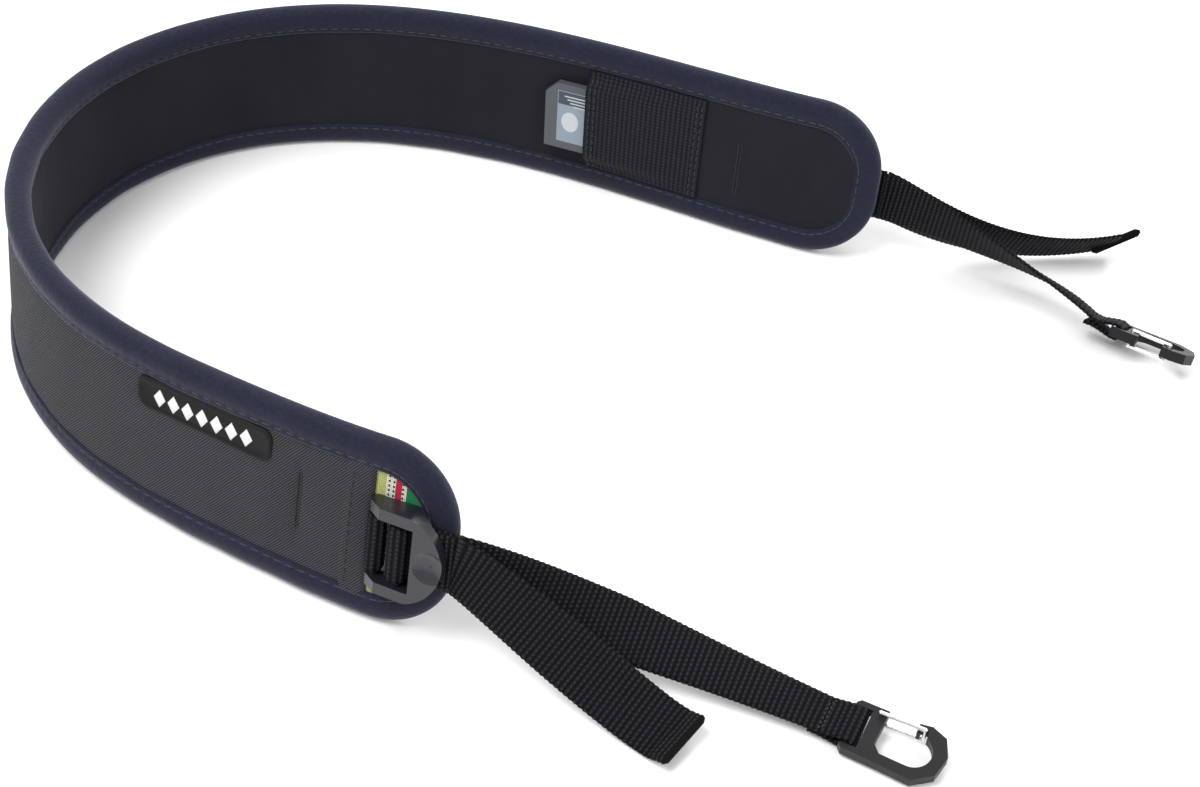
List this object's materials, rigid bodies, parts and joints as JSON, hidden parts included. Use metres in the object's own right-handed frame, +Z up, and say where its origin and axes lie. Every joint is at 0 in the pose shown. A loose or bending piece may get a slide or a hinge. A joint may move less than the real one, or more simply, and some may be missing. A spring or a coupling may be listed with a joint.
{
  "type": "padded neck strap with adjustable clip ends",
  "caption": "Padded curved strap with bound edges, adjustable webbing ends through ladder-lock buckles, wire-gate clips and an elastic memory card pocket.",
  "frame": {"origin": "centre of the footprint of the whole strap, on the surface it stands on", "axes": "+X from the bend of the loop towards the clips, +Y from the near end to the far end, +Z up, across the width of the pad"},
  "size_m": [0.3538, 0.2528, 0.0521],
  "materials": {
    "foam": "closed-cell foam, matte",
    "twill": "charcoal nylon twill with a fine diagonal weave",
    "lining": "smooth dark stretch lining, matte",
    "suede": "navy microsuede binding, soft and matte",
    "soft_rubber": "moulded matte black rubber",
    "elastic": "black ribbed elastic",
    "pattern_cloth": "woven cloth with coloured dots and bands",
    "webbing": "black ribbed nylon webbing",
    "thread": "black bonded thread",
    "acetal": "satin charcoal acetal",
    "black_metal": "matte black coating",
    "bright_wire": "bright drawn wire",
    "card_plastic": "grey moulded plastic",
    "card_paper": "printed label, plain shapes only",
    "lock_plastic": "pale moulded plastic"
  },
  "bodies": {
    "pad": {"pad_core": "foam", "outer_panel": "twill", "inner_panel": "lining", "edge_binding": "suede", "rubber_label": "soft_rubber", "elastic_pocket": "elastic", "near_textile_tab": "pattern_cloth", "near_anchor_webbing": "webbing", "near_anchor_bartack": "thread", "far_textile_tab": "pattern_cloth", "far_anchor_webbing": "webbing", "far_anchor_bartack": "thread"},
    "near_buckle": {"near_ladder_lock": "acetal", "near_strap_wrap": "webbing"},
    "near_strap_end": {"near_strap": "webbing", "near_loop_stitching": "thread"},
    "near_tail_end": {"near_tail": "webbing", "near_tail_stop": "webbing"},
    "near_clip": {"near_clip_body": "black_metal"},
    "near_gate": {"near_wire_gate": "bright_wire"},
    "far_buckle": {"far_ladder_lock": "acetal", "far_strap_wrap": "webbing"},
    "far_strap_end": {"far_strap": "webbing", "far_loop_stitching": "thread"},
    "far_tail_end": {"far_tail": "webbing", "far_tail_stop": "webbing"},
    "far_clip": {"far_clip_body": "black_metal"},
    "far_gate": {"far_wire_gate": "bright_wire"},
    "card": {"memory_card": "card_plastic", "card_label": "card_paper"},
    "card_lock": {"card_lock_slider": "lock_plastic"}
  },
  "joints": [
    {"name": "near_buckle_tilt", "type": "hinge", "parent": "pad", "child": "near_buckle", "pos_m": [-0.0531, -0.07918, 0.02687], "axis": [-0.0946, -0.2845, -0.954], "range_deg": [0, 30]},
    {"name": "near_strap_swing", "type": "hinge", "parent": "near_buckle", "child": "near_strap_end", "pos_m": [-0.03295, -0.08512, 0.02665], "axis": [0.0946, 0.2845, 0.954], "range_deg": [0, 25]},
    {"name": "near_tail_swing", "type": "hinge", "parent": "near_buckle", "child": "near_tail_end", "pos_m": [-0.03343, -0.08657, 0.02713], "axis": [-0.0946, -0.2845, -0.954], "range_deg": [0, 25]},
    {"name": "near_clip_turn", "type": "hinge", "parent": "near_strap_end", "child": "near_clip", "pos_m": [0.06514, -0.11167, 0.0035], "axis": [0.4203, 0.9013, 0.1045], "range_deg": [-35, 35]},
    {"name": "near_gate_open", "type": "hinge", "parent": "near_clip", "child": "near_gate", "pos_m": [0.07185, -0.10887, 0.00406], "axis": [0.0442, 0.0947, -0.9945], "range_deg": [0, 25], "stiffness_Nm_per_rad": 0.001, "springref_deg": -17.19},
    {"name": "far_buckle_tilt", "type": "hinge", "parent": "pad", "child": "far_buckle", "pos_m": [0.06579, 0.08307, 0.02131], "axis": [0.0401, 0.1232, 0.9916], "range_deg": [0, 30]},
    {"name": "far_strap_swing", "type": "hinge", "parent": "far_buckle", "child": "far_strap_end", "pos_m": [0.08552, 0.07586, 0.02141], "axis": [-0.0401, -0.1232, -0.9916], "range_deg": [0, 25]},
    {"name": "far_tail_swing", "type": "hinge", "parent": "far_buckle", "child": "far_tail_end", "pos_m": [0.08601, 0.07736, 0.0212], "axis": [0.0401, 0.1232, 0.9916], "range_deg": [0, 25]},
    {"name": "far_clip_turn", "type": "hinge", "parent": "far_strap_end", "child": "far_clip", "pos_m": [0.15544, 0.03523, 0.0062], "axis": [-0.446, -0.7423, 0.5], "range_deg": [-35, 35]},
    {"name": "far_gate_open", "type": "hinge", "parent": "far_clip", "child": "far_gate", "pos_m": [0.15723, 0.0287, 0.0089], "axis": [0.2575, 0.4286, 0.866], "range_deg": [0, 25], "stiffness_Nm_per_rad": 0.001, "springref_deg": -17.19},
    {"name": "card_slide", "type": "slide", "parent": "pad", "child": "card", "axis": [-0.9446, 0.3282, 0.003], "range_m": [0, 0.018]},
    {"name": "card_lock_slide", "type": "slide", "parent": "card", "child": "card_lock", "axis": [-0.9446, 0.3282, 0.003], "range_m": [0, 0.0028]}
  ]
}
